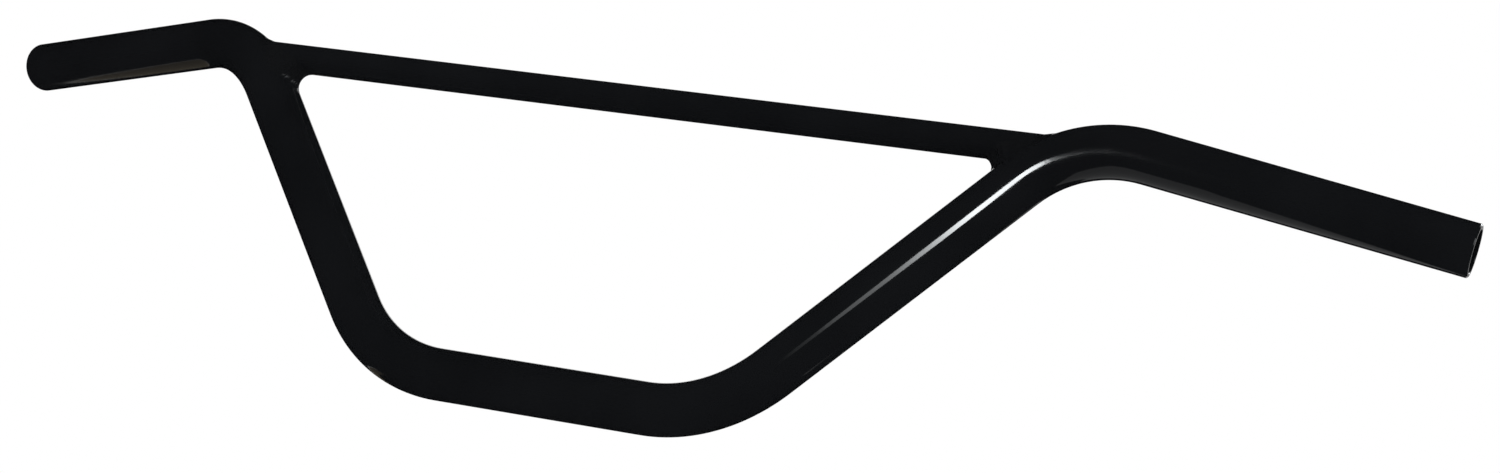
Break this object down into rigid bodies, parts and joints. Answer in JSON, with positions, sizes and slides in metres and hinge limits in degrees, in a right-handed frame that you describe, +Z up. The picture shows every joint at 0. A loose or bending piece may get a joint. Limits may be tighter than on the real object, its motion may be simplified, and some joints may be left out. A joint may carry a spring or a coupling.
{
  "type": "motorcycle handlebar",
  "caption": "Motorcycle handlebar: a bent steel tube with high risers, swept-back grip ends and a thinner crossbar welded between the risers, painted gloss black.",
  "frame": {"origin": "centre of the clamp section, on the tube's axis", "axes": "+X along the bar to the side that is right in the picture, +Y back to the rider, +Z up with the bar clamped on a fork; the risers' plane leans back 30 degrees"},
  "size_m": [0.7346, 0.1319, 0.1388],
  "materials": {
    "frame_paint": "gloss black",
    "weld_paint": "gloss black over the weld"
  },
  "bodies": {
    "root": {"main_tube": "frame_paint", "crossbar": "frame_paint", "weld_bead_left": "weld_paint", "weld_bead_right": "weld_paint"}
  },
  "joints": []
}
